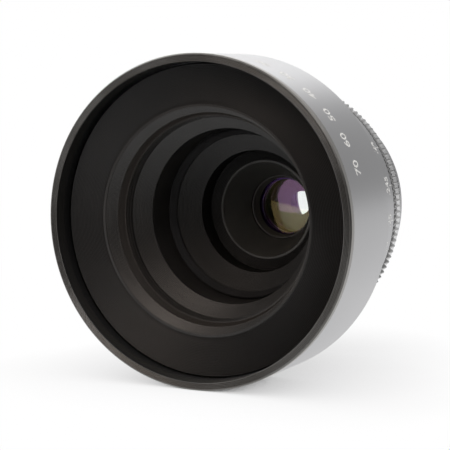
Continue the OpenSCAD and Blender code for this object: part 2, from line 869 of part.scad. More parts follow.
module trap_ring() {
    color(dark) bench() turned(concat(
        [[trap_end, inner_cone_r + seat_gap], [trap_depth, inner_cone_r + seat_gap]],
        ribbed([trap_depth, inner_cone_r + 0.4], [trap_depth, cone_tube_r], -1),
        [[trap_depth, cone_tube_r], [trap_depth, cone_tube_out_r]],
        [[trap_end, cone_tube_out_r]]
    ));
}

module inner_cone() {
    flange_r = inner_cone_r + 1.6;
    color(black) bench() turned([
        [trap_depth, inner_cone_r],
        [trap_end, inner_cone_r],
        [trap_end, flange_r],
        [trap_end + 1.2, flange_r],
        [trap_end + 1.2, inner_cone_r + 0.2],
        [inner_cone_end_depth, inner_cone_end_r + cone_wall],
        [inner_cone_end_depth, inner_cone_end_r],
        [trap_depth, inner_cone_r - 0.8]
    ]);
}

module front_cell() {
    bore = front_glass_r + run_gap;
    open_r = cell_r - 2.2;
    hub = front_glass_r + 3.5;
    rear_stop = rear_face(elements[3], front_glass_r - glass_rim) + seat_gap;
    color(dark) bench() turned([
        [trap_end, open_r],
        [trap_end, cell_r + 2.8],
        [key_depth, cell_r + 2.8],
        [key_depth, cell_r],
        [cell_end, cell_r],
        [cell_end, open_r],
        [cell_bore_depth + 3, open_r],
        [cell_bore_depth + 3, hub],
        [cell_end, hub],
        [cell_end, bore - 1.1],
        [rear_stop, bore - 1.1],
        [rear_stop, bore],
        [cell_bore_depth, bore],
        [cell_bore_depth, inner_cone_end_r + 0.1],
        [inner_cone_end_depth, inner_cone_end_r + 0.1],
        [inner_cone_end_depth, hub + 1.5],
        [cell_bore_depth, hub + 1.5],
        [cell_bore_depth, open_r]
    ]);
}

module front_lock_ring() {
    in_r = front_glass_r - lock_ring_w;
    from = inner_cone_end_depth + 0.6;
    to = front_face(elements[0], in_r) - seat_gap;
    color(black) bench() difference() {
        turned([
            [from, lock_front_r],
            [from, lock_flange_r],
            [cell_bore_depth - seat_gap, lock_flange_r],
            [cell_bore_depth - seat_gap, front_glass_r],
            [to, front_glass_r],
            [to, in_r]
        ]);
        around(2, 165) block(from - overlap, from + 0.9, in_r - overlap, lock_flange_r + overlap, 1);
    }
}

module element(i) {
    e = elements[i];
    r = e[4];
    front_edge = e[2] > 0 ? front_face(e, r) : front_face(e, r - glass_rim);
    rear_edge = e[3] > 0 && i != 3 ? rear_face(e, r) : rear_face(e, i == 3 ? r - glass_rim : r);
    top = min(front_edge, e[0]) - overlap;
    bottom = max(rear_edge, e[0] + e[1]) + overlap;
    color(glass) bench() difference() {
        intersection() {
            translate([0, 0, e[2] > 0 ? top : front_edge])
                cylinder(h = (i == 3 ? rear_edge : bottom) - (e[2] > 0 ? top : front_edge), r = r);
            if (e[2] > 0) translate([0, 0, e[0] + e[2]]) sphere(r = e[2], $fn = glass_facets);
            if (e[3] < 0) translate([0, 0, e[0] + e[1] + e[3]]) sphere(r = -e[3], $fn = glass_facets);
        }
        if (e[2] < 0) translate([0, 0, e[0] + e[2]]) sphere(r = -e[2], $fn = glass_facets);
        if (e[3] > 0) translate([0, 0, e[0] + e[1] + e[3]]) sphere(r = e[3], $fn = glass_facets);
    }
}

// Rings that keep two elements apart by their edges
module spacer(a, b) {
    out_r = elements[a][4] - seat_gap;
    in_r = out_r - spacer_w;
    tube(max(rear_face(elements[a], out_r), rear_face(elements[a], in_r)) + seat_gap,
        min(front_face(elements[b], out_r), front_face(elements[b], in_r)) - seat_gap, in_r, out_r);
}

module lens_spacers() {
    color(dark) bench() {
        spacer(0, 1);
        spacer(1, 2);
        spacer(5, 6);
        spacer(6, 7);
    }
}

module iris_housing() {
    color(dark) bench() difference() {
        turned([
            [cell_end, clear_r],
            [cell_end, iris_r],
            [iris_end, iris_r],
            [iris_end, iris_wall_r],
            [cell_end + plate_iris_t, iris_wall_r],
            [cell_end + plate_iris_t, clear_r]
        ]);
        around(blade_count, 0)
            rod(cell_end + 0.5, blade_depth, pivot_r, pivot_pin_r + run_gap);
        difference() {
            sector(cam_depth - face_gap / 2, cam_end + face_gap / 2,
                drive_at - window_side - 3, drive_at + iris_turn + window_side + 3, iris_r + overlap);
            translate([0, 0, cam_depth - overlap])
                cylinder(h = cam_t + 2 * overlap, r = iris_wall_r - overlap);
        }
    }
}

module iris_cover() {
    color(dark) bench() tube(cover_depth, iris_end, cam_in_r, iris_wall_r - seat_gap);
}

module rear_cell() {
    bore = rear_glass_r + run_gap;
    lip_end = front_face(elements[4], rear_glass_r - glass_rim) - seat_gap;
    color(dark) bench() turned([
        [iris_end, bore - 1],
        [iris_end, iris_r],
        [iris_end + rear_flange_t, iris_r],
        [iris_end + rear_flange_t, rear_cell_r],
        [rear_cell_end, rear_cell_r],
        [rear_cell_end, bore],
        [lip_end, bore],
        [lip_end, bore - 1]
    ]);
}

module rear_lock_ring() {
    in_r = rear_glass_r - 0.8;
    from = rear_face(elements[7], in_r) + seat_gap;
    color(black) bench() difference() {
        tube(from, rear_cell_end - 0.2, in_r, rear_glass_r);
        around(2, 0) block(rear_cell_end - 0.9, rear_cell_end + overlap,
            in_r - overlap, rear_glass_r + overlap, 1);
    }
}

// Iris control ring
module iris_ring() {
    color(satin) bench() difference() {
        turned([
            [iris_depth, iris_journal_r + run_gap],
            [iris_depth, iris_scale_r - edge_chamfer],
            [iris_depth + edge_chamfer, iris_scale_r],
            [iris_gear_depth - 0.6, iris_scale_r],
            [iris_gear_depth, iris_scale_r - 0.6],
            [iris_gear_depth, iris_hub_r],
            [iris_ring_end, iris_hub_r],
            [iris_ring_end, iris_journal_r + run_gap]
        ]);
        rotate([0, 0, drive_rest])
            block(arm_depth - seat_gap, arm_depth + arm_len + seat_gap,
                iris_journal_r - overlap, arm_out_r + seat_gap, bar_w + 2 * seat_gap);
    }
}

module iris_gear() {
    color(black) bench() gear(iris_gear_depth, iris_ring_end, iris_teeth, iris_hub_r + seat_gap);
}

module iris_drive_bar() {
    color(steel) bench() rotate([0, 0, drive_rest]) union() {
        block(bar_front, cam_end + 0.5, bar_in_r, bar_out_r, bar_w);
        block(arm_depth, arm_depth + arm_len, bar_in_r, arm_out_r, bar_w);
    }
}

module iris_cam_ring() {
    fork_root_r = bar_in_r - 0.7;
    color(steel) bench() difference() {
        union() {
            tube(cam_depth, cam_end, cam_in_r, cam_r);
            rotate([0, 0, drive_rest])
                block(cam_depth + 0.2, cam_end - 0.2, cam_r - overlap, bar_out_r - 0.2, fork_w);
        }
        rotate([0, 0, drive_rest])
            block(cam_depth - overlap, cam_end + overlap,
                fork_root_r, bar_out_r + overlap, bar_w + 2 * fork_gap);
        around(blade_count, rest_turn) cam_slot();
    }
}

// Slot that turns a blade evenly as the cam ring turns, with round ends
module cam_slot() {
    shares = [for (k = [0:cam_path_steps]) k / cam_path_steps];
    ends = [for (k = [1:cam_end_steps - 1]) k * 180 / cam_end_steps];
    outline = concat(
        [for (s = shares) cam_edge(s, -90)],
        [for (a = ends) cam_edge(1, a - 90)],
        [for (k = [cam_path_steps:-1:0]) cam_edge(shares[k], 90)],
        [for (a = ends) cam_edge(0, a + 90)]
    );
    translate([0, 0, cam_depth - overlap]) linear_extrude(cam_t + 2 * overlap) polygon(outline);
}

// Blade with its pivot pin to the front and its drive pin to the rear
module iris_blade(i) {
    from = blade_depth + (i - 1) * blade_pitch;
    to = from + blade_t;
    pin_end = cam_end - 0.4;
    color(dark) bench() rotate([0, 0, i * 360 / blade_count])
        translate([pivot_r, 0, 0]) rotate([0, 0, blade_turn * iris_rest]) union() {
            translate([-pivot_r, 0, 0]) {
                intersection() {
                    tube(from, to, blade_in_r, blade_out_r);
                    sector(from - overlap, to + overlap, 0, blade_arc, blade_out_r + overlap);
                }
                block(from, to, blade_in_r + blade_w / 2, pivot_r, 2 * pivot_eye_r);
                rod(from, to, pivot_r, pivot_eye_r);
                rod(cell_end + 0.7, to, pivot_r, pivot_pin_r);
            }
            rotate([0, 0, lever_angle]) {
                block(from, to, 0, lever_len, 2 * drive_eye_r);
                rod(from, to, lever_len, drive_eye_r);
                rod(from, pin_end, lever_len, drive_pin_r);
            }
        }
}

front_ring();
front_barrel();
baffle_plate();
upper_funnel();
lower_funnel();
main_barrel();
barrel_screws();
bearing_ring();
focus_stop_pin();
index_ring();
rear_housing();
housing_set_screws();
mount_shim();
mount_flange();
mount_screws();
focus_sleeve();
focus_scale_ring();
focus_gear();
focus_stop_lug();
focus_set_screws();
lens_barrel();
helicoid_keys();
bezel_ring();
front_cone();
trap_ring();
inner_cone();
front_cell();
front_lock_ring();
lens_spacers();
iris_housing();
iris_cover();
rear_cell();
rear_lock_ring();
iris_ring();
iris_gear();
iris_drive_bar();
iris_cam_ring();
for (i = [1:len(elements)]) {
    element(i - 1);
}
for (i = [1:blade_count]) {
    iris_blade(i);
}
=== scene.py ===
"""Looks of a cinema prime lens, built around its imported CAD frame.

The frame's origin is the centre of the mount flange seat. The front faces -Y
and +Z is up. Lengths are in metres, and angles round the optical axis count
in degrees from the top towards +X.
"""

import json
import math

import bmesh
import bpy
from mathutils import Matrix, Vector


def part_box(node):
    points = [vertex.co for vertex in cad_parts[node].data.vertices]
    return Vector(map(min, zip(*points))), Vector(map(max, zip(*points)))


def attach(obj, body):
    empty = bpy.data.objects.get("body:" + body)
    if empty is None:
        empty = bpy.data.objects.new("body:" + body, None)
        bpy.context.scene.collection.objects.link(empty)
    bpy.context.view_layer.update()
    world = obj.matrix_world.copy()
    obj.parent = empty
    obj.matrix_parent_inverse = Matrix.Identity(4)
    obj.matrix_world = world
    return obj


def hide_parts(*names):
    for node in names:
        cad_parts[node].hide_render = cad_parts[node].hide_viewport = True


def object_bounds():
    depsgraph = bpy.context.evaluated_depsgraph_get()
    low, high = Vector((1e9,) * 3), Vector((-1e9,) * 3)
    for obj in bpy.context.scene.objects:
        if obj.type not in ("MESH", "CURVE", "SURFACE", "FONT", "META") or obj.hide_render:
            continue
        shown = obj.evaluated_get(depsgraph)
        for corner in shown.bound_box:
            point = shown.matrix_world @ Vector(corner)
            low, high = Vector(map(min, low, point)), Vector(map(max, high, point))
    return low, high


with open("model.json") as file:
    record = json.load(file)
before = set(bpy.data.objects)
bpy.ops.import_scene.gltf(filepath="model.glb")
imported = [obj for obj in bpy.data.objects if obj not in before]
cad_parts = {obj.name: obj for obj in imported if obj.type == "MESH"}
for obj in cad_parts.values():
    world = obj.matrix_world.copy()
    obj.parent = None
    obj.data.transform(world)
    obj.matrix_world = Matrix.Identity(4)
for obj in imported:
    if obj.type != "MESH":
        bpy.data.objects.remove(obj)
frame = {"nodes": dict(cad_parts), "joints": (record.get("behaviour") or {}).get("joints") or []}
cad_low, cad_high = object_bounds()
nodes = frame["nodes"]
scene = bpy.context.scene

MM = 0.001
FRONT_Y = cad_low.y
FLOOR_Z = cad_low.z

# Camera, fitted to the photograph's ring edges
CAMERA_FROM_FRONT = Vector((0.2764, -0.5303, 0.0593))
CAMERA_FORWARD = Vector((-0.4413, 0.8918, -0.0997))
CAMERA_SENSOR_MM = 36
CAMERA_LENS_MM = 121.7
CAMERA_NEAR = 0.01

# Softboxes, aimed at the middle of the lens
LENS_MIDDLE = Vector((0.0, -0.07, 0.0))
TOP_BOX_LEVEL = 3.0
TOP_BOX_COLOR = (1.0, 0.85, 0.75)
TOP_BOX_SIZE = (0.8, 0.8)
TOP_BOX_PLACE = Vector((-0.1, -1.05, 0.8))
SIDE_BOX_LEVEL = 2.8
SIDE_BOX_COLOR = (1.0, 1.0, 1.0)
SIDE_BOX_SIZE = (0.9, 0.9)
SIDE_BOX_PLACE = Vector((0.75, -0.35, 0.98))

# World: radiance of the studio round the lens, where 1 is white, and the
# stretch of a direction's X, Y or Z over which each part of it fades
ROOM_LEVEL = 0.15
ROOM_FADE_Y = (-0.15, 0.35)
STRIP_LEVEL = 0.52
STRIP_FADE_Z = (-0.02, 0.06)
BACK_BOX_LEVEL = 1.45
BACK_BOX_FADE_Z = (0.29, 0.47)
BACK_BOX_FADE_Y = (-0.5, 0.1)
BACK_BOX_FRONT_SHARE = 0.1
BACK_BOX_FADE_X = (-0.2, 0.2)
BACK_BOX_RIGHT_SHARE = 0.05
BACKDROP_FADE_Y = (0.0, 0.1)

# Floor: a sheet of paper whose near edge is turned from the X axis, and the soft shadow on it
FLOOR_ALBEDO = 0.92
FLOOR_SIZE = 40
FLOOR_START = (-0.31, -0.75)
FLOOR_TURN = 45
CONTACT_REACH = 0.06
CONTACT_FADE = 0.25

# Grain of the surfaces: noise cells to the millimetre, and relief in millimetres
SATIN_RINGS = 5.0
SATIN_GRIT = 7.0
SATIN_CLOUD = 0.05
SATIN_RELIEF_MM = 0.012
PAINT_RINGS = 4.0
PAINT_DUST = 2.2
PAINT_CLOUD = 0.06
METAL_CLOUD = 0.08
METAL_RELIEF_MM = 0.01
INK_CLOUD = 1.5
INK_GRIT = 9.0
INK_RELIEF_MM = 0.01

# Wear, painted edge highlights and dust: widths of the rubbed edges, which are lighter partly from real
# rubbing and partly as a painted highlight, and the tones that show
SATIN_EDGE = 0.25 * MM
SATIN_RUBBED_AND_HIGHLIT = (0.42, 0.42, 0.43)
PAINT_EDGE = 0.12 * MM
PAINT_RUBBED_AND_HIGHLIT = (0.16, 0.155, 0.15)
METAL_EDGE = 0.2 * MM
DUST_TONE = (0.10, 0.10, 0.10)

# Smooth band of the upper funnel: its depths behind the front in millimetres, and its tone
UPPER_BAND = (16.1, 20.2, (0.032, 0.028, 0.025))
BAND_BLEND_MM = 0.1

# Tints that the coatings give to their reflections, at the middle and at the steep edge of a
# surface, and the radii in millimetres between which one turns into the other
COATS = {
    "amber": ((1.0, 0.78, 0.28), (1.0, 0.70, 0.24)),
    "olive": ((0.24, 0.24, 0.12), (0.24, 0.24, 0.12)),
    "green": ((0.28, 0.50, 0.28), (0.28, 0.50, 0.24)),
    "violet": ((1.6, 0.8, 1.6), (1.6, 0.8, 1.4)),
    "blue": ((0.38, 0.10, 1.0), (0.50, 0.12, 0.95)),
    "clear": ((0.02, 0.02, 0.02), (0.02, 0.02, 0.02)),
}
COAT_TURN_MM = (3, 13)

# Elements from the front: refractive index, then curvature radius in millimetres and coating
# of each surface. A radius is positive where its centre lies behind the surface.
ELEMENTS = (
    (1.62, (82, "olive"), (184, "amber")),
    (1.62, (110, "green"), (104, "olive")),
    (1.65, (38, "olive"), (84, "clear")),
    (1.70, (84, "clear"), (71.5, "violet")),
    (1.48, (-54, "blue"), (280, "clear")),
    (1.92, (280, "clear"), (-480, "clear")),
    (1.92, (140, "clear"), (-78, "clear")),
    (1.48, (-270, "clear"), (-430, "blue")),
)
GLASS_RIM = 1.0 * MM  # flat rim round a hollow face
RIMMED_REAR = (4,)  # elements with such a rim on their rear face
LATHE_STEPS = 160  # facets round the axis
DOME_STEPS = 20  # facets from the axis to the edge

# Numbers: degrees on the barrel, distances by the thin-lens law of the lens unit, and stops
BARREL_DEGREES = range(20, 80, 10)
FOCAL_MM = 50
PRINCIPAL_GAP_MM = 13.5
FOCUS_METRES = (0.24, 0.245, 0.25, 0.255, 0.26, 0.27, 0.28, 0.29, 0.3, 0.32, 0.35, 0.4, 0.5, 0.7, 1, 2)
IRIS_STOPS = (2.1, 2.8, 4, 5.6, 8, 11, 16, 22)
INDEX_ANGLES = (0, 180)

# Marks: height of digits, length of lines, and how far each row lies from the end of its ring
BARREL_DIGIT = 4.6 * MM
BARREL_ROW = 12.5 * MM
FOCUS_DIGIT = 3.4 * MM
FOCUS_ROW = 5.3 * MM
FOCUS_LINE = 2.4 * MM
FOCUS_LINE_ROW = 1.8 * MM
INFINITY_LINE = 5.0 * MM
INFINITY_ROW = 3.2 * MM
IRIS_DIGIT = 2.2 * MM
IRIS_ROW = 4.2 * MM
IRIS_LINE = 1.6 * MM
IRIS_LINE_ROW = 1.6 * MM
INDEX_LINE = 3.6 * MM
INDEX_ROW = 2.7 * MM
INDEX_WIDTH = 0.35 * MM
LINE_WIDTH = 0.3 * MM
INK_LIFT = 0.04 * MM
DIGIT_SHARE = 0.7  # height of a digit in the font's own size
INK_SPREAD = 0.02  # thickening of a digit's strokes, as a share of its height


# Materials


class Finish:
    """A Principled material with helpers for the nodes that give it grain."""

    def __init__(self, name, color, roughness, metallic=0.0, **sockets):
        self.material = bpy.data.materials.new(name)
        self.material.use_nodes = True
        self.tree = self.material.node_tree
        self.bsdf = self.tree.nodes["Principled BSDF"]
        self.bsdf.inputs["Base Color"].default_value = (*color, 1)
        self.bsdf.inputs["Roughness"].default_value = roughness
        self.bsdf.inputs["Metallic"].default_value = metallic
        for socket, value in sockets.items():
            self.bsdf.inputs[socket.replace("_", " ")].default_value = value
        place = self.node("ShaderNodeTexCoord").outputs["Object"]
        self.place = self.vector("SCALE", place, scale=1 / MM)

    def node(self, kind, **settings):
        made = self.tree.nodes.new(kind)
        for key, value in settings.items():
            setattr(made, key, value)
        return made

    def plug(self, target, value):
        if isinstance(value, bpy.types.NodeSocket):
            self.tree.links.new(value, target)
        else:
            target.default_value = value

    def shade(self, socket, value):
        """Drives one of the surface's own sockets."""
        self.plug(self.bsdf.inputs[socket], value)

    def math(self, operation, a, b):
        made = self.node("ShaderNodeMath", operation=operation)
        self.plug(made.inputs[0], a)
        self.plug(made.inputs[1], b)
        return made.outputs[0]

    def vector(self, operation, a, b=None, scale=None):
        made = self.node("ShaderNodeVectorMath", operation=operation)
        self.plug(made.inputs[0], a)
        if b is not None:
            self.plug(made.inputs[1], b)
        if scale is not None:
            self.plug(made.inputs["Scale"], scale)
        return made.outputs["Value" if operation in ("LENGTH", "DOT_PRODUCT") else "Vector"]

    def noise(self, vector, scale, detail=3.0, roughness=0.55):
        made = self.node("ShaderNodeTexNoise")
        self.plug(made.inputs["Vector"], vector)
        self.plug(made.inputs["Scale"], scale)
        self.plug(made.inputs["Detail"], detail)
        self.plug(made.inputs["Roughness"], roughness)
        return made.outputs["Fac"]

    def ramp(self, fac, low, high, into_low, into_high):
        """Maps the stretch from low to high onto the stretch from into_low to into_high."""
        made = self.node("ShaderNodeMapRange", clamp=True)
        self.plug(made.inputs["Value"], fac)
        self.plug(made.inputs["From Min"], low)
        self.plug(made.inputs["From Max"], high)
        self.plug(made.inputs["To Min"], into_low)
        self.plug(made.inputs["To Max"], into_high)
        return made.outputs["Result"]

    def mix(self, fac, a, b):
        made = self.node("ShaderNodeMix", data_type="RGBA")
        self.plug(made.inputs["Factor"], fac)
        for end, color in (("A_Color", a), ("B_Color", b)):
            socket = next(s for s in made.inputs if s.identifier == end)
            self.plug(socket, color if isinstance(color, bpy.types.NodeSocket) else (*color, 1))
        return next(s for s in made.outputs if s.identifier == "Result_Color")

    def split(self, vector):
        """The outputs X, Y and Z of a vector."""
        made = self.node("ShaderNodeSeparateXYZ")
        self.plug(made.inputs[0], vector)
        return made.outputs

    def turned_place(self):
        """Radius and depth in millimetres, so that a texture runs in rings."""
        place = self.split(self.place)
        across = self.node("ShaderNodeCombineXYZ")
        self.plug(across.inputs["X"], place["X"])
        self.plug(across.inputs["Y"], place["Z"])
        made = self.node("ShaderNodeCombineXYZ")
        self.plug(made.inputs["X"], self.vector("LENGTH", across.outputs[0]))
        self.plug(made.inputs["Y"], place["Y"])
        return made.outputs[0]

    def edges(self, width):
        """0 on open faces and up to 1 along edges."""
        bevel = self.node("ShaderNodeBevel", samples=6)
        self.plug(bevel.inputs["Radius"], width)
        normal = self.node("ShaderNodeNewGeometry").outputs["Normal"]
        same = self.vector("DOT_PRODUCT", bevel.outputs["Normal"], normal)
        return self.ramp(same, 0.995, 0.86, 0.0, 1.0)

    def bump(self, height, strength, distance_mm):
        made = self.node("ShaderNodeBump")
        self.plug(made.inputs["Height"], height)
        self.plug(made.inputs["Strength"], strength)
        self.plug(made.inputs["Distance"], distance_mm * MM)
        self.shade("Normal", made.outputs["Normal"])


def times(share, color):
    return [share * c for c in color]


def satin(name, dark, sheen, roughness, rubbing_and_highlight, falloff=1.6, blasted=0.5):
    """Satin black anodised rings: dark face on, light at a glancing angle."""
    finish = Finish(name, dark, roughness, metallic=1.0)
    rings = finish.noise(finish.turned_place(), SATIN_RINGS, detail=4.0)
    cloud = finish.noise(finish.place, SATIN_CLOUD)
    grit = finish.noise(finish.place, SATIN_GRIT, detail=2.0)
    glance = finish.node("ShaderNodeLayerWeight")
    finish.plug(glance.inputs["Blend"], 0.5)
    rise = finish.math("POWER", glance.outputs["Facing"], falloff)
    face = finish.mix(finish.ramp(cloud, 0.35, 0.7, 0.0, 0.35), dark, times(1.7, dark))
    lacquer = finish.mix(rise, face, sheen)
    # Lighter rubbed edges in patches: partly real rubbing of the anodising and partly a painted highlight
    # along the edges
    patches = finish.ramp(cloud, 0.4, 0.65, 0.2 * rubbing_and_highlight, rubbing_and_highlight)
    rubbed_and_highlit = finish.math("MULTIPLY", finish.edges(SATIN_EDGE), patches)
    finish.shade("Base Color", finish.mix(rubbed_and_highlit, lacquer, SATIN_RUBBED_AND_HIGHLIT))
    spread = finish.math("ADD", finish.ramp(rings, 0.3, 0.7, -0.04, 0.04), roughness)
    finish.shade("Roughness", spread)
    turned = finish.math("MULTIPLY", rings, 0.5)
    grain = finish.math("ADD", turned, finish.math("MULTIPLY", grit, blasted))
    finish.bump(grain, 0.35, SATIN_RELIEF_MM)
    return finish.material


def flat(name, color, roughness, specular, rubbing_and_highlight=0.25, groove=0.015, band=None):
    """Flat black anti-reflection paint with fine turning marks and a little dust."""
    finish = Finish(name, color, roughness, Specular_IOR_Level=specular)
    rings = finish.noise(finish.turned_place(), PAINT_RINGS, detail=4.0)
    cloud = finish.noise(finish.place, PAINT_CLOUD)
    dust = finish.noise(finish.place, PAINT_DUST, detail=1.0)
    patches = finish.ramp(cloud, 0.3, 0.7, 0.0, 1.0)
    tone = finish.mix(patches, times(0.75, color), times(1.35, color))
    if band is not None:
        start, end, band_tone = band
        near_mm, far_mm = FRONT_Y / MM + start, FRONT_Y / MM + end
        depth = finish.split(finish.place)["Y"]
        near = finish.ramp(depth, near_mm, near_mm + BAND_BLEND_MM, 0.0, 1.0)
        far = finish.ramp(depth, far_mm - BAND_BLEND_MM, far_mm, 1.0, 0.0)
        # The smooth band is given a lighter tone than the rest of the paint
        tone = finish.mix(finish.math("MULTIPLY", near, far), tone, band_tone)
    tone = finish.mix(finish.ramp(dust, 0.74, 0.8, 0.0, 0.25), tone, DUST_TONE)
    # Lighter rubbed edges: partly real rubbing of the paint and partly a painted highlight along the edges
    rubbed_and_highlit = finish.math("MULTIPLY", finish.edges(PAINT_EDGE), rubbing_and_highlight)
    finish.shade("Base Color", finish.mix(rubbed_and_highlit, tone, PAINT_RUBBED_AND_HIGHLIT))
    finish.shade("Roughness", finish.ramp(rings, 0.3, 0.7, roughness - 0.07, roughness + 0.07))
    finish.bump(rings, 1.0, groove)
    return finish.material


def metal(name, color, roughness, grain=6.0):
    """Bare turned metal with rings of finer and coarser grain."""
    finish = Finish(name, color, roughness, metallic=1.0)
    rings = finish.noise(finish.turned_place(), grain, detail=5.0, roughness=0.7)
    cloud = finish.noise(finish.place, METAL_CLOUD)
    tone = finish.mix(finish.ramp(cloud, 0.3, 0.7, 0.0, 1.0), times(0.85, color), color)
    # Lighter edges: partly burnished metal and partly a painted highlight along the edges
    rubbed_and_highlit_edge = [min(1.0, c) for c in times(1.35, color)]
    finish.shade("Base Color", finish.mix(finish.edges(METAL_EDGE), tone, rubbed_and_highlit_edge))
    finish.shade("Roughness", finish.ramp(rings, 0.25, 0.75, 0.7 * roughness, 1.3 * roughness))
    finish.bump(rings, 0.3, METAL_RELIEF_MM)
    return finish.material


def coated_glass(name, coat, edge_coat, ior):
    """Polished glass whose coating changes its tint towards the steep edge."""
    finish = Finish(name, (1.0, 1.0, 1.0), 0.0, Transmission_Weight=1.0, IOR=ior)
    radius = finish.split(finish.turned_place())["X"]
    finish.shade("Specular Tint", finish.mix(finish.ramp(radius, *COAT_TURN_MM, 0, 1), coat, edge_coat))
    return finish.material


def ink(name, color):
    """Filled engraving: matt enamel with an uneven surface."""
    finish = Finish(name, color, 0.55)
    patches = finish.ramp(finish.noise(finish.place, INK_CLOUD), 0.4, 0.7, 0, 1)
    finish.shade("Base Color", finish.mix(patches, times(0.82, color), color))
    finish.bump(finish.noise(finish.place, INK_GRIT), 0.3, INK_RELIEF_MM)
    return finish.material


SATIN_BLACK = satin("satin_black", (0.035, 0.036, 0.038), (0.75, 0.75, 0.76), 0.34, 0.3)
RIM_BLACK = satin("rim_black", (0.10, 0.096, 0.090), (0.45, 0.44, 0.42), 0.42, 0.5, blasted=0.0)
INDEX_BLACK = satin("index_black", (0.035, 0.036, 0.038), (1.0, 1.0, 1.0), 0.2, 0.2, falloff=1.5)
GEAR_BLACK = satin("gear_black", (0.03, 0.03, 0.031), (0.50, 0.495, 0.49), 0.32, 0.6)
FUNNEL_BLACK = flat("funnel_black", (0.014, 0.013, 0.012), 0.4, 0.45, groove=0.04)
# The upper funnel's stronger edge setting paints a highlight line along its lip
UPPER_BLACK = flat("upper_black", (0.016, 0.0145, 0.0135), 0.4, 0.45, rubbing_and_highlight=0.5, groove=0.04, band=UPPER_BAND)
FRONT_CONE_BLACK = flat("front_cone_black", (0.012, 0.0115, 0.011), 0.42, 0.36, groove=0.03)
PLATE_BLACK = flat("plate_black", (0.005, 0.0043, 0.004), 0.5, 0.45, groove=0.03)
COOL_BLACK = flat("cool_black", (0.020, 0.020, 0.021), 0.42, 0.5)
BORE_BLACK = flat("bore_black", (0.018, 0.0165, 0.0155), 0.55, 0.4)
DEEP_BLACK = flat("deep_black", (0.009, 0.009, 0.009), 0.6, 0.35)
CONE_BLACK = flat("cone_black", (0.060, 0.060, 0.056), 0.42, 0.6, rubbing_and_highlight=0.03)
LOCK_BLACK = flat("lock_black", (0.07, 0.066, 0.062), 0.4, 0.6)
# Dark spacer metal with a violet tint: the dark tone is the spacers' own, and the violet is a painted
# reflection of the coatings, seen through the iris as a purple crescent
SPACER_PAINTED_VIOLET_REFLECTION = metal("spacer_painted_violet_reflection", (0.045, 0.014, 0.11), 0.3)
# Dark blade metal tinted pink-violet: the tint is a painted reflection of the coatings on the blades
BLADE_PAINTED_PINK_REFLECTION = metal("blade_black", (0.16, 0.085, 0.15), 0.45, grain=2.0)
STEEL = metal("mount_steel", (0.58, 0.57, 0.55), 0.26)
SCREW_STEEL = metal("screw_steel", (0.34, 0.34, 0.35), 0.32)
BRASS = metal("bearing_brass", (0.62, 0.46, 0.20), 0.3)
WHITE_INK = ink("white_ink", (0.82, 0.82, 0.80))
BARE_GLASS = coated_glass("bare_glass", *COATS["clear"], 1.62)

FINISHES = {
    "front_ring": RIM_BLACK,
    "front_barrel": SATIN_BLACK,
    "baffle_plate": PLATE_BLACK,
    "upper_funnel": UPPER_BLACK,
    "lower_funnel": FUNNEL_BLACK,
    "main_barrel": BORE_BLACK,
    "barrel_screws": SCREW_STEEL,
    "bearing_ring": BRASS,
    "focus_stop_pin": SCREW_STEEL,
    "index_ring": INDEX_BLACK,
    "rear_housing": SATIN_BLACK,
    "housing_set_screws": SCREW_STEEL,
    "mount_shim": BRASS,
    "mount_flange": STEEL,
    "mount_screws": SCREW_STEEL,
    "focus_sleeve": BRASS,
    "focus_scale_ring": SATIN_BLACK,
    "focus_gear": GEAR_BLACK,
    "focus_stop_lug": SCREW_STEEL,
    "focus_set_screws": SCREW_STEEL,
    "lens_barrel": DEEP_BLACK,
    "helicoid_keys": BRASS,
    "bezel_ring": COOL_BLACK,
    "front_cone": FRONT_CONE_BLACK,
    "trap_ring": DEEP_BLACK,
    "inner_cone": CONE_BLACK,
    "front_cell": DEEP_BLACK,
    "front_lock_ring": LOCK_BLACK,
    "lens_spacers": SPACER_PAINTED_VIOLET_REFLECTION,
    "iris_housing": DEEP_BLACK,
    "iris_cover": DEEP_BLACK,
    "rear_cell": COOL_BLACK,
    "rear_lock_ring": COOL_BLACK,
    "iris_ring": SATIN_BLACK,
    "iris_gear": GEAR_BLACK,
    "iris_drive_bar": SCREW_STEEL,
    "iris_cam_ring": SCREW_STEEL,
}


def finish_of(name):
    if name.startswith("element_"):
        return BARE_GLASS
    if name.startswith("iris_blade_"):
        return BLADE_PAINTED_PINK_REFLECTION
    return FINISHES[name]


for name, obj in nodes.items():
    obj.data.materials.clear()
    obj.data.materials.append(finish_of(name))


# Glass


def sag(curve, radius):
    """Depth change of a spherical surface between its vertex and a radius."""
    return math.copysign(abs(curve) - math.sqrt(curve**2 - radius**2), curve)


def dome(vertex, curve, radius):
    """Profile points (radius, depth) of a spherical surface, from the axis outwards."""
    steps = [radius * k / DOME_STEPS for k in range(DOME_STEPS + 1)]
    return [(r, vertex + sag(curve, r)) for r in steps]


def lathe(name, bands):
    """Closed solid turned round the Y axis: each band is a run of profile points with a material."""
    bm = bmesh.new()
    mesh = bpy.data.meshes.new(name)
    turns = [math.tau * k / LATHE_STEPS for k in range(LATHE_STEPS)]

    def ring(radius, depth):
        if radius == 0:
            return [bm.verts.new((0, depth, 0))] * LATHE_STEPS
        return [bm.verts.new((radius * math.sin(t), depth, radius * math.cos(t))) for t in turns]

    before = None
    for slot, (points, material) in enumerate(bands):
        mesh.materials.append(material)
        for place in points if before is None else points[1:]:
            here = ring(*place)
            for k in range(LATHE_STEPS if before else 0):
                corners = (before[k - 1], here[k - 1], here[k], before[k])
                face = bm.faces.new(tuple(dict.fromkeys(corners)))
                face.material_index = slot
                face.smooth = True
            before = here
    for edge in bm.edges:
        if len({f.material_index for f in edge.link_faces}) > 1:
            edge.smooth = False
    bmesh.ops.recalc_face_normals(bm, faces=bm.faces)
    bm.to_mesh(mesh)
    bm.free()
    obj = bpy.data.objects.new(name, mesh)
    scene.collection.objects.link(obj)
    return obj


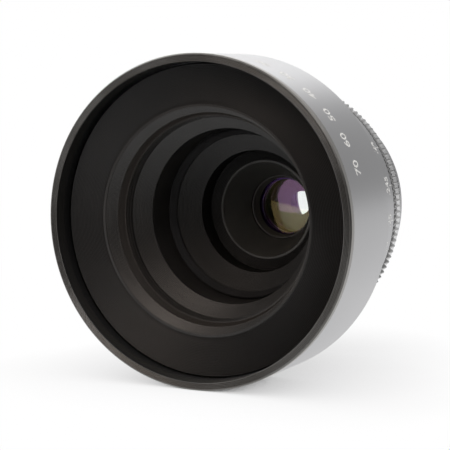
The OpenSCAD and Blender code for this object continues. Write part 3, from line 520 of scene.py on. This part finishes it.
def glass_element(number):
    """Polished element in the place of its CAD node, with blackened ground edges."""
    node = f"element_{number}"
    low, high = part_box(node)
    radius = high.x
    ior, (front_curve, front_coat), (rear_curve, rear_coat) = ELEMENTS[number - 1]
    front, rear = front_curve * MM, rear_curve * MM
    front_clear = radius if front > 0 else radius - GLASS_RIM
    rear_clear = radius - GLASS_RIM if number in RIMMED_REAR else radius
    front_vertex = low.y if front > 0 else low.y - sag(front, front_clear)
    rear_vertex = high.y if rear < 0 else high.y - sag(rear, rear_clear)
    front_dome = dome(front_vertex, front, front_clear)
    rear_dome = dome(rear_vertex, rear, rear_clear)[::-1]
    edge = [front_dome[-1], (radius, front_dome[-1][1]), (radius, rear_dome[0][1]), rear_dome[0]]
    edge = list(dict.fromkeys(edge))
    front_finish = coated_glass(f"glass_{number}_front", *COATS[front_coat], ior)
    rear_finish = coated_glass(f"glass_{number}_rear", *COATS[rear_coat], ior)
    bands = [(front_dome, front_finish), (edge, DEEP_BLACK), (rear_dome, rear_finish)]
    obj = lathe(f"glass_{number}", bands)
    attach(obj, "lens_unit")
    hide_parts(node)


for number in range(1, len(ELEMENTS) + 1):
    glass_element(number)


# Numbers and lines on the rings


def label_mesh(words, height):
    """A thin flat solid of plain digits, centred on its own origin."""
    curve = bpy.data.curves.new("label", "FONT")
    curve.body = words
    curve.size = height / DIGIT_SHARE
    curve.align_x = "CENTER"
    curve.align_y = "CENTER"
    curve.resolution_u = 5
    curve.extrude = INK_LIFT
    curve.offset = INK_SPREAD * height
    obj = bpy.data.objects.new("label", curve)
    scene.collection.objects.link(obj)
    graph = bpy.context.evaluated_depsgraph_get()
    mesh = bpy.data.meshes.new_from_object(obj.evaluated_get(graph))
    bpy.data.objects.remove(obj)
    return mesh


class Ring:
    """Marks on the outer face of a ring, read with the front at the top."""

    def __init__(self, name, node, body):
        self.name = name
        self.low, self.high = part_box(node)
        self.body = body
        self.radius = self.high.x
        self.bm = bmesh.new()

    def wrap(self, point, angle, y):
        """Lays a flat point on the ring, at this angle and depth."""
        turn = math.radians(angle) - point[0] / self.radius
        reach = self.radius + point[2]
        return Vector((reach * math.sin(turn), y - point[1], reach * math.cos(turn)))

    def label(self, words, height, angle, y):
        part = bmesh.new()
        mesh = label_mesh(words, height)
        part.from_mesh(mesh)
        bpy.data.meshes.remove(mesh)
        for vert in part.verts:
            vert.co = self.wrap(vert.co, angle, y)
        self.add(part)

    def line(self, angle, y, width, length):
        part = bmesh.new()
        bmesh.ops.create_cube(part, size=1.0)
        for vert in part.verts:
            flat_place = (vert.co.x * width, vert.co.y * length, vert.co.z * 2 * INK_LIFT)
            vert.co = self.wrap(flat_place, angle, y)
        self.add(part)

    def add(self, part):
        made = bpy.data.meshes.new("part")
        part.to_mesh(made)
        part.free()
        self.bm.from_mesh(made)
        bpy.data.meshes.remove(made)

    def place(self, material, slot):
        mesh = bpy.data.meshes.new(self.name)
        self.bm.to_mesh(mesh)
        self.bm.free()
        mesh.materials.append(material)
        obj = bpy.data.objects.new(self.name, mesh)
        scene.collection.objects.link(obj)
        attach(obj, self.body)


def plain(number):
    """A number in digits, without a zero in front of its point."""
    return f"{number:g}".lstrip("0") if number < 1 else f"{number:g}"


def focus_angle(metres, travel_mm, turn):
    """Turn of the focus ring that brings an object at this distance into focus."""
    reach = metres / MM - PRINCIPAL_GAP_MM - 2 * FOCAL_MM
    extension = (reach - math.sqrt(max(0.0, reach**2 - 4 * FOCAL_MM**2))) / 2
    return min(turn, extension / travel_mm * turn)


joint_range = {j["name"]: j.get("range_deg") or j.get("range_m") for j in frame["joints"]}
focus_turn = joint_range["focus_turn"][1]
iris_open, iris_closed = joint_range["iris_turn"]
unit_travel_mm = joint_range["unit_slide"][1] / MM

barrel = Ring("barrel_numbers", "front_barrel", "body")
for degrees in BARREL_DEGREES:
    barrel.label(str(degrees), BARREL_DIGIT, degrees, barrel.low.y + BARREL_ROW)
barrel.place(WHITE_INK, "satin_black")

scale = Ring("focus_numbers", "focus_scale_ring", "focus_ring")
for metres in FOCUS_METRES:
    angle = -focus_angle(metres, unit_travel_mm, focus_turn)
    scale.label(plain(metres), FOCUS_DIGIT, angle, scale.high.y - FOCUS_ROW)
    scale.line(angle, scale.high.y - FOCUS_LINE_ROW, LINE_WIDTH, FOCUS_LINE)
scale.line(0, scale.high.y - INFINITY_ROW, LINE_WIDTH, INFINITY_LINE)
scale.place(WHITE_INK, "satin_black")

stops = Ring("iris_numbers", "iris_ring", "iris_control")
for stop in IRIS_STOPS:
    share = math.log(stop / IRIS_STOPS[0]) / math.log(IRIS_STOPS[-1] / IRIS_STOPS[0])
    angle = -(iris_open + (iris_closed - iris_open) * share)
    stops.label(plain(stop), IRIS_DIGIT, angle, stops.low.y + IRIS_ROW)
    stops.line(angle, stops.low.y + IRIS_LINE_ROW, LINE_WIDTH, IRIS_LINE)
stops.place(WHITE_INK, "satin_black")

index = Ring("index_lines", "index_ring", "body")
for angle in INDEX_ANGLES:
    index.line(angle, index.low.y + INDEX_ROW, INDEX_WIDTH, INDEX_LINE)
index.place(WHITE_INK, "satin_black")


# Stage


def table(name, size, start, turn):
    """Level plane whose near edge runs through a start point, turned from the X axis."""
    mesh = bpy.data.meshes.new(name)
    aside = Vector((math.cos(turn), math.sin(turn), 0)) * size / 2
    end = start + Vector((-math.sin(turn), math.cos(turn), 0)) * size
    mesh.from_pydata([start - aside, start + aside, end + aside, end - aside], [], [(0, 1, 2, 3)])
    obj = bpy.data.objects.new(name, mesh)
    scene.collection.objects.link(obj)
    return obj


def softbox(name, place, target, size, radiance, color):
    """Rectangular light of this radiance, aimed at a target."""
    light = bpy.data.lights.new(name, "AREA")
    light.color = color
    light.shape = "RECTANGLE"
    light.size, light.size_y = size
    light.energy = radiance * math.pi * size[0] * size[1]
    obj = bpy.data.objects.new(name, light)
    obj.location = place
    obj.rotation_mode = "QUATERNION"
    obj.rotation_quaternion = (target - place).to_track_quat("-Z", "Y")
    scene.collection.objects.link(obj)


def white_paper():
    """White floor: shown white with a soft contact shadow, and a plain pale surface to all other light."""
    finish = Finish("white_paper", (FLOOR_ALBEDO,) * 3, 0.9, Specular_IOR_Level=0.0)
    near = finish.node("ShaderNodeAmbientOcclusion", samples=16)
    finish.plug(near.inputs["Distance"], CONTACT_REACH)
    shown = finish.node("ShaderNodeEmission")
    finish.plug(shown.inputs["Strength"], finish.math("POWER", near.outputs["AO"], CONTACT_FADE))
    path = finish.node("ShaderNodeLightPath")
    seen = finish.math("MAXIMUM", path.outputs["Is Camera Ray"], path.outputs["Is Glossy Ray"])
    seen = finish.math("MAXIMUM", seen, path.outputs["Is Transmission Ray"])
    either = finish.node("ShaderNodeMixShader")
    finish.plug(either.inputs["Fac"], seen)
    finish.plug(either.inputs[1], finish.bsdf.outputs[0])
    finish.plug(either.inputs[2], shown.outputs[0])
    finish.plug(finish.tree.nodes["Material Output"].inputs["Surface"], either.outputs[0])
    return finish.material


def studio_world():
    """White backdrop behind, dim room in front, grey strip over the backdrop, softbox behind on the left."""
    world = bpy.data.worlds.new("studio")
    scene.world = world
    world.use_nodes = True
    tree = world.node_tree
    split = tree.nodes.new("ShaderNodeSeparateXYZ")
    tree.links.new(tree.nodes.new("ShaderNodeTexCoord").outputs["Generated"], split.inputs[0])
    path = tree.nodes.new("ShaderNodeLightPath")

    def fade(axis, stretch, start, end):
        made = tree.nodes.new("ShaderNodeMapRange")
        made.interpolation_type = "SMOOTHSTEP"
        tree.links.new(split.outputs[axis], made.inputs["Value"])
        made.inputs["From Min"].default_value, made.inputs["From Max"].default_value = stretch
        made.inputs["To Min"].default_value = start
        made.inputs["To Max"].default_value = end
        return made.outputs["Result"]

    def join(operation, a, b):
        made = tree.nodes.new("ShaderNodeMath")
        made.operation = operation
        tree.links.new(a, made.inputs[0])
        tree.links.new(b, made.inputs[1])
        return made.outputs[0]

    room = fade("Y", ROOM_FADE_Y, ROOM_LEVEL, 1.0)
    strip = fade("Z", STRIP_FADE_Z, 1.0, STRIP_LEVEL)
    box = fade("Z", BACK_BOX_FADE_Z, 0.0, BACK_BOX_LEVEL)
    box = join("MULTIPLY", box, fade("Y", BACK_BOX_FADE_Y, BACK_BOX_FRONT_SHARE, 1.0))
    box = join("MULTIPLY", box, fade("X", BACK_BOX_FADE_X, 1.0, BACK_BOX_RIGHT_SHARE))
    level = join("ADD", join("MULTIPLY", room, strip), box)
    behind = join("MULTIPLY", path.outputs["Is Transmission Ray"], fade("Y", BACKDROP_FADE_Y, 0.0, 1.0))
    seen = join("MAXIMUM", path.outputs["Is Camera Ray"], behind)
    background = tree.nodes["Background"]
    tree.links.new(join("MAXIMUM", level, seen), background.inputs["Strength"])
    background.inputs["Color"].default_value = (1, 1, 1, 1)


floor = table("floor", FLOOR_SIZE, Vector((*FLOOR_START, FLOOR_Z)), math.radians(FLOOR_TURN))
floor.data.materials.append(white_paper())
studio_world()
softbox("top_box", TOP_BOX_PLACE, LENS_MIDDLE, TOP_BOX_SIZE, TOP_BOX_LEVEL, TOP_BOX_COLOR)
softbox("side_box", SIDE_BOX_PLACE, LENS_MIDDLE, SIDE_BOX_SIZE, SIDE_BOX_LEVEL, SIDE_BOX_COLOR)

camera = bpy.data.objects.new("camera", bpy.data.cameras.new("camera"))
camera.data.sensor_width = CAMERA_SENSOR_MM
camera.data.lens = CAMERA_LENS_MM
camera.data.clip_start = CAMERA_NEAR
camera.location = Vector((0, FRONT_Y, 0)) + CAMERA_FROM_FRONT
camera.rotation_mode = "QUATERNION"
camera.rotation_quaternion = CAMERA_FORWARD.to_track_quat("-Z", "Y")
scene.collection.objects.link(camera)
scene.camera = camera

scene.view_settings.view_transform = "Standard"
scene.cycles.max_bounces = 24
scene.cycles.transmission_bounces = 20
scene.cycles.use_denoising = True
scene.cycles.denoising_input_passes = "RGB_ALBEDO"
